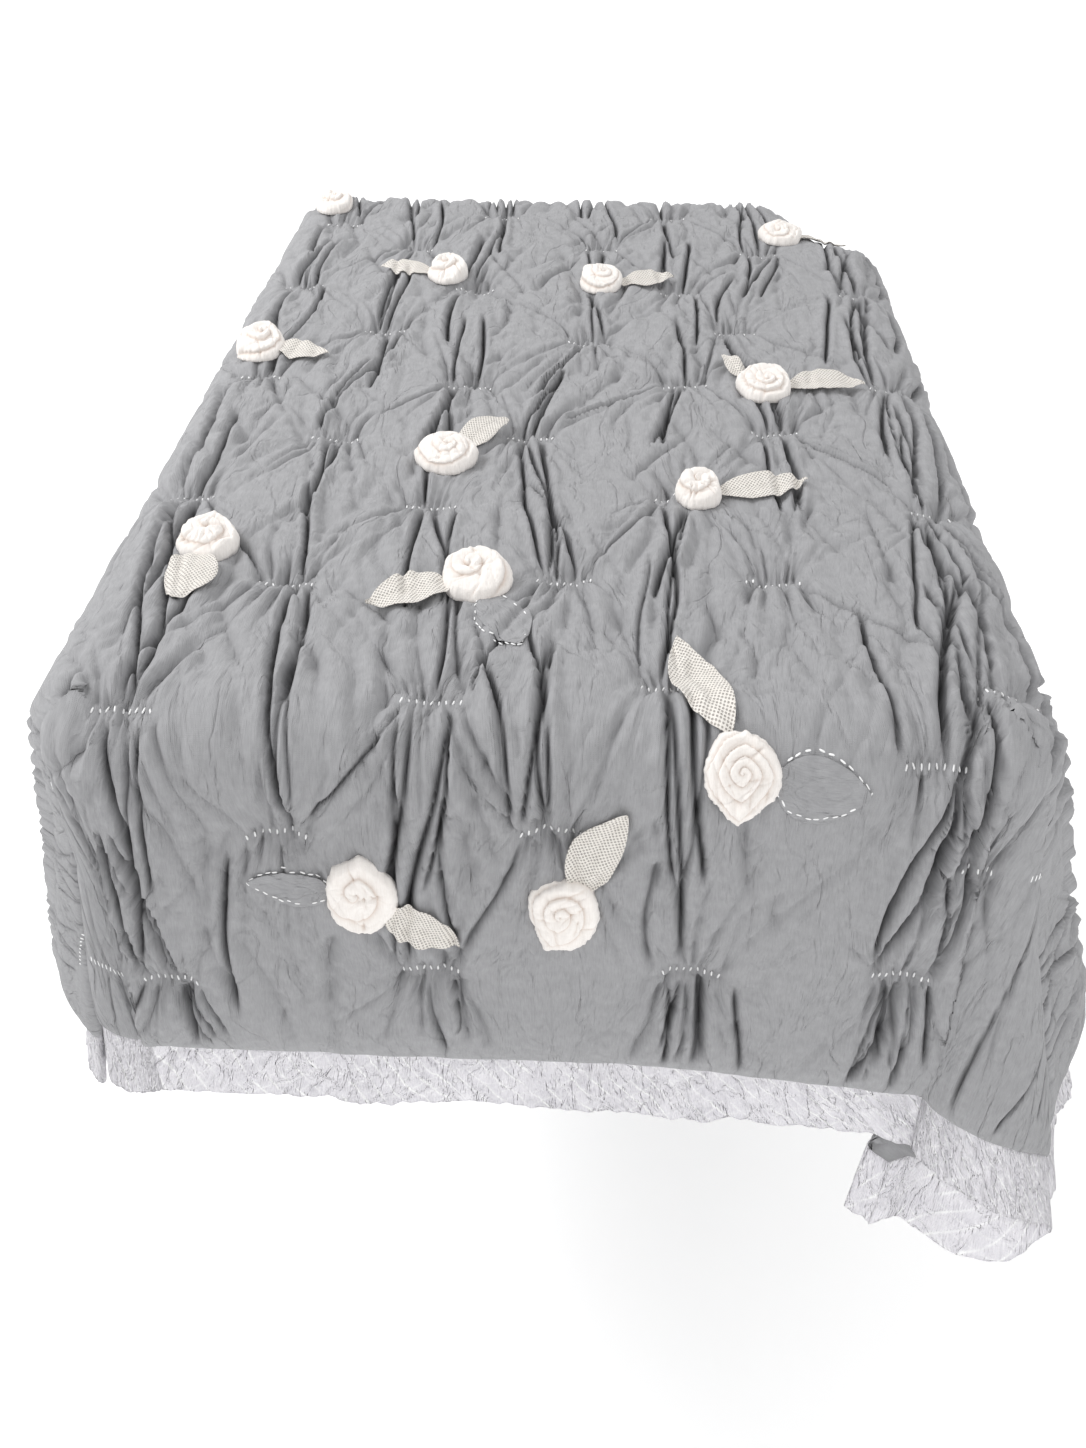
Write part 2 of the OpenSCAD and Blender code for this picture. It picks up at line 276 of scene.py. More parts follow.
# small helpers
def linear(hexColour):
    c = np.array([int(hexColour[i:i + 2], 16) / 255 for i in (1, 3, 5)])
    c = np.where(c <= 0.04045, c / 12.92, ((c + 0.055) / 1.055) ** 2.4)
    return (*c, 1)


def seeded(seed):
    return np.random.default_rng(seed)


def newPiece(name, points, faces, material, uv=None, smooth=True):
    mesh = bpy.data.meshes.new(name)
    mesh.from_pydata([tuple(p) for p in points], [], [tuple(f) for f in faces])
    if uv is not None:
        layer = mesh.uv_layers.new(name="cloth")
        loops = np.empty(len(mesh.loops), dtype=np.int32)
        mesh.loops.foreach_get("vertex_index", loops)
        layer.data.foreach_set("uv", np.asarray(uv, np.float32)[loops].ravel())
    if smooth:
        mesh.polygons.foreach_set("use_smooth", np.ones(len(mesh.polygons), bool))
    mesh.materials.append(material)
    mesh.validate()
    mesh.update()
    piece = bpy.data.objects.new(name, mesh)
    scene.collection.objects.link(piece)
    return piece


def gridFaces(rows, cols, start=0, flip=False):
    j, i = np.meshgrid(np.arange(rows - 1), np.arange(cols - 1), indexing="ij")
    a = (start + j * cols + i).ravel()
    quads = np.stack([a, a + 1, a + cols + 1, a + cols], -1)
    return quads[:, ::-1] if flip else quads


def markFoldShade(piece, depth):
    # how deep in a fold each point lies, 0 to 1, for the materials that paint shade there
    layer = piece.data.attributes.new("fold", "FLOAT", "POINT")
    layer.data.foreach_set("value", depth.astype(np.float32))


def applyModifiers(piece):
    bpy.ops.object.select_all(action="DESELECT")
    piece.select_set(True)
    bpy.context.view_layer.objects.active = piece
    for m in list(piece.modifiers):
        bpy.ops.object.modifier_apply(modifier=m.name)


def thicken(piece, thickness, offset=-1.0):
    m = piece.modifiers.new("thickness", "SOLIDIFY")
    m.thickness = thickness
    m.offset = offset
    applyModifiers(piece)


rippleGain = 1.8                                  # brings the smoothed noise back to about -1 to 1


def splineWeights(f):
    return [(1 - f) ** 3 / 6, (3 * f ** 3 - 6 * f ** 2 + 4) / 6,
            (-3 * f ** 3 + 3 * f ** 2 + 3 * f + 1) / 6, f ** 3 / 6]


def ripple(x, y, lengthX, lengthY, rng, octaves=1):
    # smooth seeded noise over the cloth, about -1 to 1, with the given lengths in mm
    total = np.zeros(np.broadcast(x, y).shape)
    for o in range(octaves):
        lx, ly = lengthX / 2 ** o, lengthY / 2 ** o
        lowX, lowY = np.min(x) / lx, np.min(y) / ly
        nx, ny = int(np.max(x) / lx - lowX) + 5, int(np.max(y) / ly - lowY) + 5
        knots = rng.uniform(-1, 1, (ny, nx))
        u, v = x / lx - lowX + 1, y / ly - lowY + 1
        iu, iv = np.floor(u).astype(int), np.floor(v).astype(int)
        fu, fv = u - iu, v - iv
        wu, wv = splineWeights(fu), splineWeights(fv)
        for p in range(4):
            for q in range(4):
                ku, kv = np.clip(iu + q - 1, 0, nx - 1), np.clip(iv + p - 1, 0, ny - 1)
                total = total + knots[kv, ku] * wu[q] * wv[p] / 2 ** o
    return total * rippleGain


def slanted(x, y, lean, lengthX, lengthY, rng, octaves=1):
    # ripple turned by a lean in radians
    c, s = math.cos(lean), math.sin(lean)
    return ripple(x * c + y * s, y * c - x * s, lengthX, lengthY, rng, octaves)


# materials: sRGB colours, sizes in mm
def addNode(tree, kind, settings=None, links=None):
    node = tree.nodes.new("ShaderNode" + kind)
    for key, value in (settings or {}).items():
        if isinstance(key, str) and hasattr(node, key):
            setattr(node, key, value)
        else:
            node.inputs[key].default_value = value
    for key, source in (links or {}).items():
        tree.links.new(source, node.inputs[key])
    return node


bandsPerScale = 3.18                              # of a wave texture, in one unit of length


def clothMaterial(name, colour, dark, thread, spacing, bump, roughness, sheen,
                  mottle=90.0, crinkle=None, ridges=None, lattice=None, holes=None, paintedFoldShade=None):
    # woven or knitted cloth: two sets of threads as bump, colour mottled a little
    material = bpy.data.materials.new(name)
    material.use_nodes = True
    tree = material.node_tree
    shader = tree.nodes["Principled BSDF"]
    for key, value in (("Roughness", roughness), ("Specular IOR Level", 0.25),
                       ("Sheen Weight", sheen), ("Sheen Roughness", 0.5)):
        shader.inputs[key].default_value = value
    uv = addNode(tree, "UVMap", {"uv_map": "cloth"}).outputs[0]

    def mapped(key, value):
        return addNode(tree, "Mapping", {key: value}, {"Vector": uv}).outputs[0]

    def turned(degrees):
        return mapped("Rotation", (0, 0, math.radians(degrees)))

    def celled(wide, long):
        # the cloth's coordinates counted in cells of so many mm
        return mapped("Scale", (1 / (wide * mm), 1 / (long * mm), 1))

    def noise(scale, settings, vector=uv):
        return addNode(tree, "TexNoise", {"Scale": scale, **settings},
                       {"Vector": vector}).outputs["Fac"]

    def threads(axis, apart, settings, vector=uv):
        scale = 1 / (apart * mm) / bandsPerScale
        return addNode(tree, "TexWave", {"bands_direction": axis, "Scale": scale, **settings},
                       {"Vector": vector}).outputs["Fac"]

    def worked(operation, first, second=None):
        number = {1: second} if isinstance(second, float) else {}
        other = {} if number or second is None else {1: second}
        return addNode(tree, "Math", {"operation": operation, **number}, {0: first, **other}).outputs[0]

    def ranged(value, low, high):
        return addNode(tree, "MapRange", {"From Min": low, "From Max": high},
                       {"Value": value}).outputs[0]

    def blended(factor, under, over):
        # colour over, laid on a colour or on what is there so far
        plain = isinstance(under, str)
        return addNode(tree, "Mix", {"data_type": "RGBA", 7: linear(over),
                                     **({6: linear(under)} if plain else {})},
                       {"Factor": factor, **({} if plain else {6: under})}).outputs[2]

    def bumped(height, distance, normal=None, strength=1.0):
        # a negative distance sinks in
        return addNode(tree, "Bump", {"Strength": strength, "Distance": abs(distance) * mm,
                                      "invert": distance < 0},
                       {"Height": height, **({"Normal": normal} if normal else {})}).outputs[0]

    blotch = noise(mottle, {"Detail": 4.0, "Roughness": 0.6})
    slub = noise(1.0, {"Detail": 2.0}, mapped("Scale", (1 / (spacing * mm), 0.12 / (spacing * mm), 1)))
    colourNow = blended(ranged(worked("ADD", blotch, slub), 0.7, 1.3), dark, colour)
    if paintedFoldShade:                                    # painted shade: colour darkened toward the shade colour deep in the folds
        fold = addNode(tree, "Attribute", {"attribute_name": "fold"})
        colourNow = blended(fold.outputs["Fac"], colourNow, paintedFoldShade)
    extra = []                                    # heights that add to the bump
    if lattice:                                   # heavier threads that cross at a slant
        apart, oneLean, otherLean, bright = lattice
        heavy = {"Distortion": 3.5, "Detail": 1.5, "Detail Scale": 0.7}
        sets = [worked("POWER", threads("X", apart, heavy, turned(lean)), 14.0)
                for lean in (oneLean, -otherLean)]
        both = worked("MAXIMUM", sets[0], worked("MULTIPLY", sets[1], 0.4))
        lines = worked("MULTIPLY", both, ranged(noise(30.0, {"Detail": 2.0}), 0.35, 0.6))
        colourNow = blended(lines, colourNow, bright)
        extra.append((lines, 0.6))
    if holes:                                     # staggered rows of small round holes
        apart, radius, inside = holes
        cells = addNode(tree, "TexVoronoi", {"voronoi_dimensions": "2D", "Scale": 1 / (apart * mm),
                                             "Randomness": 0.12}, {"Vector": turned(45)})
        hole = ranged(cells.outputs["Distance"], radius + 0.07, radius - 0.03)
        colourNow = blended(hole, colourNow, inside)
        extra.append((hole, -1.2))
    tree.links.new(colourNow, shader.inputs["Base Color"])
    weave = worked("ADD", *[threads(axis, spacing, {"Distortion": 0.6, "Detail": 1.0})
                            for axis in "XY"])
    normal = bumped(weave, thread, None, bump)
    for height, distance in extra:
        normal = bumped(height, distance, normal)
    if ridges:                                    # thin pressed creases, mostly along the cloth
        web = noise(1.0, {"Detail": 3.0, "Distortion": 0.8}, celled(*ridges[:2]))
        crease = ranged(worked("ABSOLUTE", worked("SUBTRACT", web, 0.5)), 0.0, 0.05)
        normal = bumped(crease, ridges[2], normal)
    if crinkle:                                   # wide soft wrinkles
        folds = noise(1.0, {"Detail": 5.0, "Roughness": 0.55, "Distortion": 0.4}, celled(*crinkle[:2]))
        normal = bumped(folds, crinkle[2], normal)
    tree.links.new(normal, shader.inputs["Normal"])
    return material


# plain-woven cotton, gathered: matt, faintly streaked by uneven yarn, wrinkled along the gathers, with painted
# shade in the deep folds
greyCotton = clothMaterial("greyCottonGathered", "#A2A2A4", "#949496", 0.25, 1.1, 0.5, 0.85, 0.1,
                           crinkle=(11, 52, 3.2), ridges=(34, 95, 1.0), paintedFoldShade="#3E3E40")
# the same cotton left flat as the lining: matt and even
liningCotton = clothMaterial("greyCottonLining", "#98989A", "#8B8B8D", 0.25, 1.1, 0.5, 0.85, 0.1)
# open gauze, crinkled in the wash: bright threads cross shaded crinkles
whiteGauze = clothMaterial("whiteGauzeCrinkled", "#EEECF0", "#D8D6DC", 0.5, 1.4, 0.6, 0.8, 0.2,
                           mottle=34.0, crinkle=(14, 34, 7.0), ridges=(20, 44, 1.2),
                           lattice=(15, 38, 60, "#FFFFFF"))
# soft cotton strip, twisted and rolled: bright ridges, with warm shade painted in the folds
roseCotton = clothMaterial("whiteCottonRolled", "#F3EFEB", "#EAE4DF", 0.2, 1.0, 0.35, 0.75, 0.2,
                           mottle=60.0, crinkle=(6, 9, 1.8), paintedFoldShade="#CDBBAE")
# eyelet knit: even rows of small round holes
meshKnit = clothMaterial("eyeletKnit", "#EFEBE5", "#E4DFD8", 0.4, 1.6, 0.5, 0.8, 0.15,
                         crinkle=(14, 20, 1.5), holes=(2.6, 0.26, "#AFA9A3"))
# grey cotton cut to a leaf: like the face, but flat
leafCotton = clothMaterial("greyCottonLeaf", "#A2A2A4", "#949496", 0.25, 1.1, 0.5, 0.85, 0.1,
                           crinkle=(12, 30, 2.4), ridges=(20, 40, 0.9))
# spun polyester thread: white and slightly shiny
whiteThread = clothMaterial("whiteThreadSpun", "#FAFAFA", "#F0F0F0", 0.1, 0.6, 0.3, 0.5, 0.1)
print("materials made")


# gathers
gathers = {"width": 52, "pleats": 9, "rows": 14, "split": 25, "merge": 1.4, "bow": 2.5, "bowHalf": 26}


def gatherSpots():
    # middle of each gathering thread, from the threads' solids
    spots = []
    for row in range(1, gathers["rows"] + 1):
        along = onCloth(nodePoints("gather_threads_%d" % row))
        along = along[np.argsort(along[:, 0])]
        cuts = np.where(np.diff(along[:, 0]) > gathers["split"])[0] + 1
        ends = [(g[:, 0].min(), g[:, 0].max(), g[:, 1].mean()) for g in np.split(along, cuts)]
        merged = []
        for low, high, y in ends:
            if merged and high - merged[-1][0] < gathers["width"] * gathers["merge"]:
                merged[-1] = (merged[-1][0], high, (y + merged[-1][2]) / 2)
            else:
                merged.append((low, high, y))
        spots += [((low + high) / 2, y) for low, high, y in merged]
    return np.array(spots)


gatherAt = gatherSpots()
print("gathers found:", len(gatherAt))


# ruched face
ruche = {
    "cols": 720, "rows": 504, "backStep": 8,
    "deep": (9, 16), "deepWidth": (1.5, 2.7),     # the dark folds that run from gather to gather
    "soft": (2.0, 5.0), "softWidth": (3.5, 8),
    "pull": 0.72, "pullReach": 6.5, "pleatDepth": 3.6, "dip": 8, "seed": 41,
    "drawIn": 0.55, "drawReach": 46, "drawTall": 34,
    "looseFolds": 700, "crumple": 1.0, "longFolds": 3, "cornerFlat": 0.72,
    "crumples": ((0.9, 60, 2.6), (-0.7, 75, 2.4), (0.15, 110, 3.0)),  # lean, length, depth
    "lowest": -20, "highest": 4.2, "pucker": 1.1,
}


def foldLines(rng):
    # each fold: rows (y), its line across (x), depth and half width along it
    lines = []

    def add(x0, y0, x1, y1, part, bow, depth, width, wiggle=2.0, fade=False):
        k = np.linspace(part[0], part[1], 60)
        y = y0 + (y1 - y0) * k
        sway = ripple(np.zeros(60), k * abs(y1 - y0), 1, 45, rng)
        s = k * k * (3 - 2 * k)
        x = x0 + (x1 - x0) * s + bow * np.sin(np.pi * k) + wiggle * sway
        f = (k - part[0]) / (part[1] - part[0])
        taper = np.minimum(1, np.minimum(f, 1 - f) / 0.22)
        d = depth * np.sin(np.pi / 2 * unit(taper)) ** 0.8
        d = depth * (1 - f) * unit(f / 0.06) if fade else d
        order = np.argsort(y)
        lines.append((y[order], x[order], d[order], width))

    half = gathers["width"] / 2
    for gx, gy in gatherAt:                       # short folds that fan out of each gather
        for way in (-1, 1):
            for p in range(9):
                o = (p - 4) / 4 * half * 0.95 + rng.uniform(-3, 3)
                long = rng.uniform(40, 165)
                lean = o / half * rng.uniform(0.1, 0.75) + rng.uniform(-0.08, 0.08)
                add(gx + o, gy, gx + o + lean * long, gy + way * long, (0.03, 1.0), rng.uniform(-6, 6),
                    rng.uniform(2.5, 7.0), rng.uniform(1.8, 3.6), 3, fade=True)
    for n, (gx, gy) in enumerate(gatherAt):
        for m, (hx, hy) in enumerate(gatherAt):
            down, across = gy - hy, hx - gx
            if 190 < down < 360 and abs(across) < 75:
                for _ in range(rng.integers(2, 5)):
                    part = [(0.02, 0.98), (0.03, 0.62), (0.35, 0.98)][rng.integers(0, 3)]
                    add(gx + rng.uniform(-half, half), gy, hx + rng.uniform(-half, half), hy, part,
                        rng.uniform(-14, 14), rng.uniform(*ruche["deep"]),
                        rng.uniform(*ruche["deepWidth"]))
                for _ in range(5):
                    a = rng.uniform(0, 0.5)
                    add(gx + rng.uniform(-60, 60), gy, hx + rng.uniform(-60, 60), hy,
                        (a, a + rng.uniform(0.3, 0.5)), rng.uniform(-25, 25),
                        rng.uniform(*ruche["soft"]), rng.uniform(*ruche["softWidth"]), 5)
            if 70 < down < 230 and 50 < abs(across) < 190:
                kind = rng.uniform()
                if kind < 0.4:
                    add(gx + np.sign(across) * half * 0.9, gy, hx - np.sign(across) * half * 0.9, hy,
                        (0.02, rng.uniform(0.6, 0.98)), rng.uniform(-6, 6),
                        rng.uniform(4, 9), rng.uniform(1.8, 2.6))
                elif kind < 0.95:
                    add(gx + np.sign(across) * half, gy, hx - np.sign(across) * half, hy,
                        (0.05, 0.95), rng.uniform(-10, 10), rng.uniform(1.5, 3.5), rng.uniform(3, 6))
    edge = drape["flange"]
    lowX, highX = drape["cutLow"][0] + edge + 20, drape["cutHigh"][0] - edge - 20
    lowY, highY = drape["cutLow"][1] + edge + 12, drape["cutHigh"][1] - edge - 12
    for gx, gy in gatherAt:                       # from the first and last rows on to the seam
        for limit in (lowY, highY):
            if abs(gy - limit) < 190:
                for _ in range(7):
                    o, long = rng.uniform(-half, half), abs(limit - gy)
                    add(gx + o, gy, gx + o * 1.7 + rng.uniform(-14, 14), limit,
                        (0.03, rng.uniform(0.5, 1.0)),
                        rng.uniform(-5, 5), rng.uniform(4, 12), rng.uniform(1.6, 3.6))
    for gx, gy in gatherAt:                       # long dark folds on the drops, past the next gathers
        bedX, bedY = drape["bed"]
        if abs(gx) > bedX or gy < -bedY + 120:
            for _ in range(ruche["longFolds"]):
                o, long = rng.uniform(-1.6 * half, 1.6 * half), rng.uniform(110, 280)
                way = rng.choice([-1, 1])
                y2 = min(max(gy + way * long, lowY), highY)
                add(gx + o, gy, gx + 1.4 * o + rng.uniform(-25, 25), y2, (0.04, 1),
                    rng.uniform(-10, 10),
                    rng.uniform(5, 13), rng.uniform(1.5, 2.8), 3)
    for _ in range(ruche["looseFolds"]):          # loose folds along the cloth
        x, y = rng.uniform(lowX, highX), rng.uniform(lowY, highY)
        long = rng.uniform(40, 190)
        lean = rng.normal(0, 0.28)
        y2 = min(max(y + long, lowY), highY)
        add(x, y, x + lean * long, y2, (0, 1), rng.uniform(-9, 9), rng.uniform(1.2, 5.0),
            rng.uniform(2.4, 7.0), 5)
    return lines


def flatUnder(x, y):
    # 0 under the roses, 1 away from them
    keep = np.ones(np.broadcast(x, y).shape)
    for cx, cy, r in coverSpots:
        d = np.hypot(x - cx, y - cy)
        keep = np.minimum(keep, unit((d - r) / 10))
    return keep


roseCount = 13
roseCover = 22                                    # mm round a rose's middle that stays flat
coverSpots = []
for number in range(1, roseCount + 1):
    middle = onCloth([nodePoints("rose_%d" % number).mean(0)])[0]
    coverSpots.append((*middle, roseCover))
print("roses found:", len(coverSpots))


def makeFace():
    rng = seeded(ruche["seed"])
    w = drape["flange"]
    x0, y0 = drape["cutLow"][0] + w, drape["cutLow"][1] + w
    x1, y1 = drape["cutHigh"][0] - w, drape["cutHigh"][1] - w
    cols, rows = ruche["cols"] + 1, ruche["rows"] + 1
    xs, ys = np.linspace(x0, x1, cols), np.linspace(y0, y1, rows)
    clothX, clothY = np.meshgrid(xs, ys)
    stepX, stepY = xs[1] - xs[0], ys[1] - ys[0]
    lines = foldLines(rng)

    # cloth drawn sideways into the gathers and folds
    shift = np.zeros_like(clothX)
    for gx, gy in gatherAt:
        j = slice(max(int((gy - 90 - y0) / stepY), 0), int((gy + 90 - y0) / stepY) + 1)
        d = clothX[j] - gx
        near = np.exp(-((clothY[j] - gy) / ruche["drawTall"]) ** 2)
        shift[j] -= ruche["drawIn"] * d * np.exp(-(d / ruche["drawReach"]) ** 2) * near
    drawn = clothX + shift
    pulls = np.zeros_like(clothX)
    for y, x, d, width in lines:
        j0, j1 = np.searchsorted(ys, [y[0], y[-1]])
        if j1 <= j0 or d.max() < 4:
            continue
        cx, depth = np.interp(ys[j0:j1], y, x)[:, None], np.interp(ys[j0:j1], y, d)[:, None]
        i0 = max(int((cx.min() - 30 - x0) / stepX), 0)
        i1 = min(int((cx.max() + 30 - x0) / stepX) + 2, cols)
        off = drawn[j0:j1, i0:i1] - cx
        pulls[j0:j1, i0:i1] -= (ruche["pull"] * unit(depth / 6) * off
                                * np.exp(-(off / ruche["pullReach"]) ** 2))
    drawnX = drawn + pulls
    edge = unit(np.minimum(clothX - x0, x1 - clothX) / 25)
    drawnX = clothX + (drawnX - clothX) * edge
    drawnX = np.maximum.accumulate(drawnX, axis=1)

    # relief
    raised, shade = np.zeros_like(clothX), np.zeros_like(clothX)
    for gx, gy in gatherAt:
        j = slice(max(int((gy - 130 - y0) / stepY), 0), int((gy + 130 - y0) / stepY) + 1)
        d, e = drawnX[j] - gx, clothY[j] - gy
        arch = e - gathers["bow"] * (1 - (d / gathers["bowHalf"]) ** 2)
        raised[j] -= ruche["dip"] * np.exp(-(d / 34) ** 2 - (np.abs(arch) / 15) ** 1.5)
        raised[j] -= 3.5 * np.exp(-(d / 52) ** 2 - (e / 45) ** 2)
        inside = unit((gathers["width"] / 2 + 3 - np.abs(d)) / 4)
        spread = 1 + np.abs(arch) / 90
        pleat = 0.5 - 0.5 * np.cos(2 * np.pi * gathers["pleats"] * (d / spread) / gathers["width"])
        reach = np.exp(-(np.abs(arch) / 17) ** 1.3)
        raised[j] -= ruche["pleatDepth"] * (1 - pleat) * inside * reach
    for y, x, d, width in lines:
        j0, j1 = np.searchsorted(ys, [y[0], y[-1]])
        if j1 <= j0:
            continue
        cx, depth = np.interp(ys[j0:j1], y, x)[:, None], np.interp(ys[j0:j1], y, d)[:, None]
        i0 = max(int((cx.min() - 45 - x0) / stepX), 0)
        i1 = min(int((cx.max() + 45 - x0) / stepX) + 2, cols)
        off = np.abs(drawnX[j0:j1, i0:i1] - cx)
        slot = np.exp(-(off / width) ** 1.6)
        lip = 0.2 * np.exp(-((off - 3.2 * width) / (1.8 * width)) ** 2)
        raised[j0:j1, i0:i1] -= depth * (slot - lip)
        # painted shade: the deep folds darken the face's colour along their middle
        dark = np.clip((depth - 4) / 6, 0, 0.95) * np.exp(-(off / (0.65 * width)) ** 2)
        shade[j0:j1, i0:i1] = np.maximum(shade[j0:j1, i0:i1], dark)
    raised += 1.0 * ripple(drawnX, clothY, 26, 110, rng) + 0.55 * ripple(drawnX, clothY, 10, 55, rng)
    for lean, long, tall in ruche["crumples"]:    # crumples either way
        field = slanted(drawnX, clothY, lean, long * 0.42, long, rng, 2)
        raised -= ruche["crumple"] * tall * np.exp(-np.abs(field) / 0.09) * unit(0.6 + 0.5
                                                                                 * ripple(drawnX,
                                                                                          clothY, 160,
                                                                                          160, rng))
    raised = np.clip(raised + 1.5, ruche["lowest"], ruche["highest"])
    keep = softened(flatUnder(drawnX, clothY))
    raised = raised * keep - 2.0 * (1 - keep)
    dx = np.maximum(np.abs(drawnX) - drape["bed"][0], 0)
    dy = np.maximum(np.abs(clothY) - drape["bed"][1], 0)
    inCorner = np.sin(2 * np.arctan2(dy, dx)) ** 2 * unit(np.minimum(dx, dy) / 40)
    leftEdge = unit((-drawnX - drape["bed"][0]) / 40) * unit((-clothY - drape["bed"][1] + 260) / 200)
    flatter = np.maximum(inCorner, leftEdge)
    raised *= 1 - ruche["cornerFlat"] * flatter                       # the folded corners lie flatter
    seam = np.clip(toSeam(clothX, clothY), 0, None)
    pucker = np.where(np.minimum(clothX - x0, x1 - clothX) < np.minimum(clothY - y0, y1 - clothY),
                      ripple(clothX * 0 + 1, clothY, 1, 11, rng),
                      ripple(clothX, clothY * 0 + 1, 11, 1, rng))
    raised = raised * unit(seam / 30) + ruche["pucker"] * pucker * np.exp(-(seam / 22) ** 2)
    heights = faceHeight(clothX, clothY) + raised
    heights = np.maximum(heights, drape["liningT"] + 2.5)
    top = place(drawnX, clothY, heights).reshape(-1, 3)

    # underside at a coarse step, closed to the top all round
    k = ruche["backStep"]
    backX, backY = clothX[::k, ::k], clothY[::k, ::k]
    back = place(backX, backY, drape["liningT"] + 0.4).reshape(-1, 3)
    bRows, bCols = backX.shape
    n = len(top)
    over, under = gridFaces(rows, cols), gridFaces(bRows, bCols, n, flip=True)

    def rim(topIndex, backIndex):
        made = []
        for s in range(len(backIndex) - 1):
            c0, c1 = backIndex[s], backIndex[s + 1]
            run = topIndex[s * k:(s + 1) * k + 1]
            for t in range(k):
                made.append((run[t], c0 if t < k // 2 else c1, run[t + 1]))
            made.append((run[k // 2], c0, c1))
        return made

    b = np.arange(n, n + bRows * bCols).reshape(bRows, bCols)
    t = np.arange(n).reshape(rows, cols)
    rims = rim(t[0], b[0]) + rim(t[:, -1], b[:, -1]) + rim(t[-1, ::-1], b[-1, ::-1])
    rims += rim(t[::-1, 0], b[::-1, 0])
    allFaces = over.tolist() + under.tolist() + [tuple(int(v) for v in f) for f in rims]
    uv = np.concatenate([np.stack([clothX, clothY], -1).reshape(-1, 2),
                         np.stack([backX, backY], -1).reshape(-1, 2)]) * mm
    piece = newPiece("ruchedFace", np.concatenate([top, back]), allFaces, greyCotton, uv)
    # painted shade kept off the roses and the seam, and weaker on the flat corners
    shade *= keep * unit(seam / 12) * (1 - 0.5 * flatter)
    markFoldShade(piece, np.concatenate([shade.ravel(), np.zeros(len(back))]))
    return piece, (drawnX, ys, heights, y0, stepY)


face, faceRelief = makeFace()


def heightAt(x, y):
    # height of the face's surface over the underside at spots on the cloth
    drawnX, ys, heights, y0, stepY = faceRelief
    x, y = np.atleast_1d(x).astype(float), np.atleast_1d(y).astype(float)
    out = np.empty(x.shape)
    flatX, flatY, flatOut = x.ravel(), y.ravel(), out.reshape(-1)
    for n in range(len(flatX)):
        j = np.clip((flatY[n] - y0) / stepY, 0, len(ys) - 1.001)
        a, f = int(j), j - int(j)
        flatOut[n] = (np.interp(flatX[n], drawnX[a], heights[a]) * (1 - f)
                      + np.interp(flatX[n], drawnX[a + 1], heights[a + 1]) * f)
    return out


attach(face, "root")
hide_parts("face_panel", "wadding")
print("ruched face made:", len(face.data.polygons), "faces")


# lining
lining = {"across": 81, "along": 103, "thickness": 1.2}


def makeLining():
    w = drape["flange"]
    xs = np.linspace(drape["cutLow"][0] + w, drape["cutHigh"][0] - w, lining["across"])
    ys = np.linspace(drape["cutLow"][1] + w, drape["cutHigh"][1] - w, lining["along"])
    flatX, flatY = np.meshgrid(xs, ys)
    points = place(flatX, flatY, drape["liningT"] + 0.1)
    piece = newPiece("liningSheet", points.reshape(-1, 3), gridFaces(len(ys), len(xs)), liningCotton,
                     np.stack([flatX, flatY], -1).reshape(-1, 2) * mm)
    thicken(piece, lining["thickness"] * mm)
    return piece


liningPiece = makeLining()
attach(liningPiece, "root")
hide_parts("lining")
print("lining made")


# flange
flange = {"step": 2.6, "across": 15, "thickness": 0.9, "crinkle": 1.3, "seed": 7}


def makeFlange(name, inner, outer, number):
    rng = seeded(flange["seed"] + number)
    long = np.hypot(*(outer[1] - outer[0]))
    n = int(long / flange["step"])
    u, v = np.meshgrid(np.linspace(0, 1, n), np.linspace(0, 1, flange["across"]))
    start = inner[0] + (outer[0] - inner[0]) * v[..., None]
    stop = inner[1] + (outer[1] - inner[1]) * v[..., None]
    spot = start + (stop - start) * u[..., None]
    d, e = u * long, v * drape["flange"]
    h = 1.3 * ripple(d, e, 9, 60, rng) + 0.7 * ripple(d + 0.35 * e, e, 4.5, 30, rng)
    h += v * 4.6 * ripple(d, e, 42, 60, rng) + v ** 2 * 7 * ripple(d, e * 0, 75, 1, rng)
    for lean, tall in ((0.8, 2.2), (-0.6, 1.8)):  # pressed creases either way
        field = slanted(d, e, lean, 22, 60, rng)
        h -= tall * np.exp(-np.abs(field) / 0.12) * unit(v * 4)
    h = h * flange["crinkle"] * np.clip(v * 5, 0.35, 1) + 2.2
    fray = v ** 3 * 5 * ripple(d, e * 0, 60, 1, rng) + (v > 0.93) * ripple(d, e, 5, 40, rng) * 2.0
    fray = np.minimum(fray, 2.5)
    side = np.array([outer[0][0] + outer[1][0] - inner[0][0] - inner[1][0],
                     outer[0][1] + outer[1][1] - inner[0][1] - inner[1][1]])
    side = side / np.hypot(*side)
    x, y = spot[..., 0] + side[0] * fray, spot[..., 1] + side[1] * fray
    points = place(x, y, np.clip(h, -4, 12))
    uv = np.stack([d, e], -1).reshape(-1, 2) * mm
    piece = newPiece(name, points.reshape(-1, 3), gridFaces(flange["across"], n, flip=True), whiteGauze,
                     uv)
    thicken(piece, flange["thickness"] * mm, 0)
    return piece


low, high, w = np.array(drape["cutLow"]), np.array(drape["cutHigh"]), drape["flange"]
flangeRuns = {
    "foot": ((low[0] + w, low[1] + w), (high[0] - w, low[1] + w), (low[0], low[1]), (high[0], low[1])),
    "right": ((high[0] - w, low[1] + w), (high[0] - w, high[1] - w), (high[0], low[1]),
              (high[0], high[1])),
    "head": ((high[0] - w, high[1] - w), (low[0] + w, high[1] - w), (high[0], high[1]),
             (low[0], high[1])),
    "left": ((low[0] + w, high[1] - w), (low[0] + w, low[1] + w), (low[0], high[1]), (low[0], low[1])),
}
for number, (sideName, (a, b, c, d)) in enumerate(flangeRuns.items()):
    strip = makeFlange("flange" + sideName.capitalize(), np.array([a, b], float),
                       np.array([c, d], float), number)
    long = 1.73 if sideName in ("foot", "head") else 2.18   # flat length, in metres
    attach(strip, "root")
    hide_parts("flange_" + sideName)
print("flange made")


